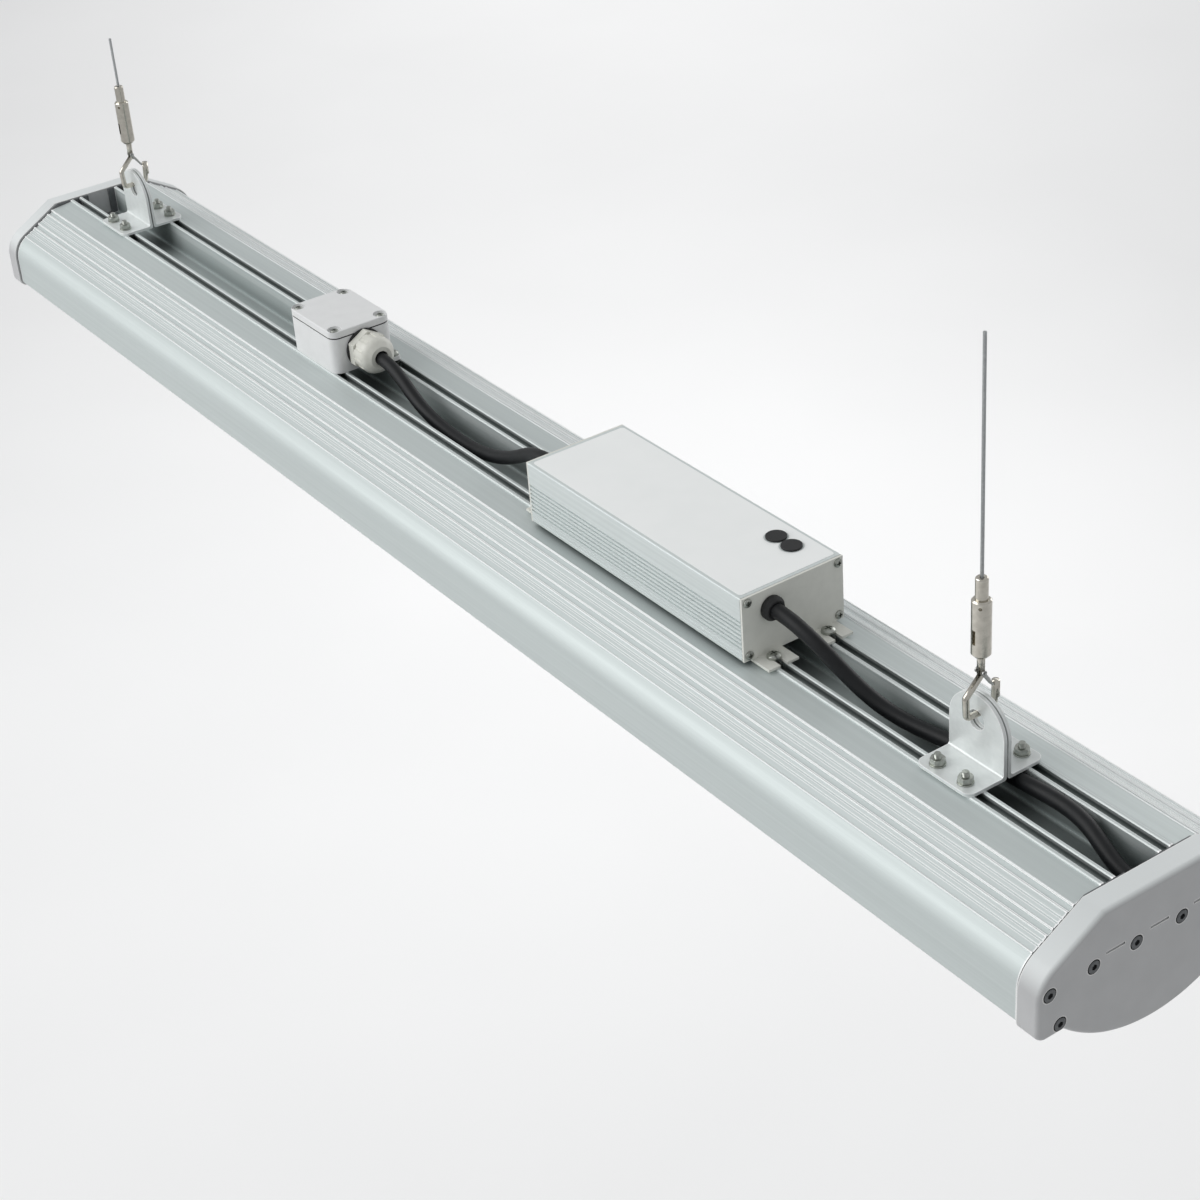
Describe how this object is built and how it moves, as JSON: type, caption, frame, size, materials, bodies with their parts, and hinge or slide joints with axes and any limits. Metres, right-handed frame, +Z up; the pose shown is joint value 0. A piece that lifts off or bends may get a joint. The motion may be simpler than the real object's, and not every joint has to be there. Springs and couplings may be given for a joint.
{
  "type": "linear high bay light",
  "caption": "Long ceiling light with a finned aluminium body, bulging diffuser, driver and junction box on top, and two hooked wire suspensions.",
  "frame": {"origin": "middle of the body's length and width, level with the lowest point of the diffuser and end caps", "axes": "+X along the body towards the end cap where the output lead enters; +Y towards the rear T-slot; +Z up along the suspension wires"},
  "size_m": [1.1368, 0.151, 0.312],
  "materials": {
    "anodised_aluminium": "anodised satin",
    "opal_lens": "frosted",
    "cap_paint": "fine satin powder coat",
    "black_rubber": "matt",
    "zinc_steel": "bright zinc plated",
    "white_board": "white solder resist",
    "led_yellow": "phosphor coated",
    "driver_aluminium": "pale anodised",
    "potting": "cast potting compound",
    "driver_plate": "satin",
    "black_sheath": "smooth sheath",
    "box_paint": "fine powder coat over die casting",
    "terminal_plastic": "moulded",
    "brass_screws": "bright",
    "gland_plastic": "moulded",
    "bracket_zinc": "zinc plated sheet",
    "nickel": "nickel plated",
    "spring_steel": "drawn wire",
    "wire_steel": "drawn rope wire"
  },
  "bodies": {
    "fixture": {"housing_extrusion": "anodised_aluminium", "diffuser": "opal_lens", "near_end_cap": "cap_paint", "far_end_cap": "cap_paint", "near_gasket": "black_rubber", "far_gasket": "black_rubber", "end_cap_screws": "zinc_steel", "led_boards": "white_board", "led_packages": "led_yellow", "led_board_screws": "zinc_steel", "lead_entry_grommet": "black_rubber", "driver_case": "driver_aluminium", "driver_potted_core": "potting", "driver_far_plate": "driver_plate", "driver_near_plate": "driver_plate", "driver_plate_screws": "zinc_steel", "driver_trim_plugs": "black_rubber", "driver_input_grommet": "black_rubber", "driver_output_grommet": "black_rubber", "driver_foot_screws": "zinc_steel", "driver_slot_nuts": "zinc_steel", "driver_input_lead": "black_sheath", "driver_output_lead": "black_sheath", "junction_box_base": "box_paint", "junction_box_gasket": "black_rubber", "junction_box_lid": "box_paint", "junction_box_lid_screws": "zinc_steel", "junction_box_fixing_screws": "zinc_steel", "junction_box_slot_nuts": "zinc_steel", "terminal_block": "terminal_plastic", "terminal_screws": "brass_screws", "gland_body": "gland_plastic", "gland_sealing_ring": "black_rubber", "gland_clamping_seal": "black_rubber", "gland_dome_nut": "gland_plastic", "bracket_bolts": "zinc_steel", "bracket_washers": "zinc_steel", "bracket_nuts": "zinc_steel", "near_front_bracket": "bracket_zinc", "near_rear_bracket": "bracket_zinc", "far_front_bracket": "bracket_zinc", "far_rear_bracket": "bracket_zinc"},
    "near_suspension": {"near_hook": "nickel", "near_gate_pin": "spring_steel", "near_gripper_body": "nickel", "near_wire": "wire_steel"},
    "near_gate": {"near_hook_gate": "spring_steel"},
    "near_collar": {"near_gripper_collar": "nickel"},
    "far_suspension": {"far_hook": "nickel", "far_gate_pin": "spring_steel", "far_gripper_body": "nickel", "far_wire": "wire_steel"},
    "far_gate": {"far_hook_gate": "spring_steel"},
    "far_collar": {"far_gripper_collar": "nickel"}
  },
  "joints": [
    {"name": "near_hook_swing", "type": "hinge", "parent": "fixture", "child": "near_suspension", "pos_m": [0.447, 0, 0.10965], "axis": [0, 1, 0], "range_deg": [-60, 60]},
    {"name": "near_gate_opening", "type": "hinge", "parent": "near_suspension", "child": "near_gate", "pos_m": [0.447, 0, 0.133], "axis": [-1, 0, 0], "range_deg": [0, 16], "stiffness_Nm_per_rad": 0.002, "springref_deg": -20.05},
    {"name": "near_collar_release", "type": "slide", "parent": "near_suspension", "child": "near_collar", "axis": [0, 0, -1], "range_m": [0, 0.003], "stiffness_N_per_m": 500, "springref_m": -0.002},
    {"name": "far_hook_swing", "type": "hinge", "parent": "fixture", "child": "far_suspension", "pos_m": [-0.475, 0, 0.10965], "axis": [0, 1, 0], "range_deg": [-60, 60]},
    {"name": "far_gate_opening", "type": "hinge", "parent": "far_suspension", "child": "far_gate", "pos_m": [-0.475, 0, 0.133], "axis": [-1, 0, 0], "range_deg": [0, 16], "stiffness_Nm_per_rad": 0.002, "springref_deg": -20.05},
    {"name": "far_collar_release", "type": "slide", "parent": "far_suspension", "child": "far_collar", "axis": [0, 0, -1], "range_m": [0, 0.003], "stiffness_N_per_m": 500, "springref_m": -0.002}
  ]
}
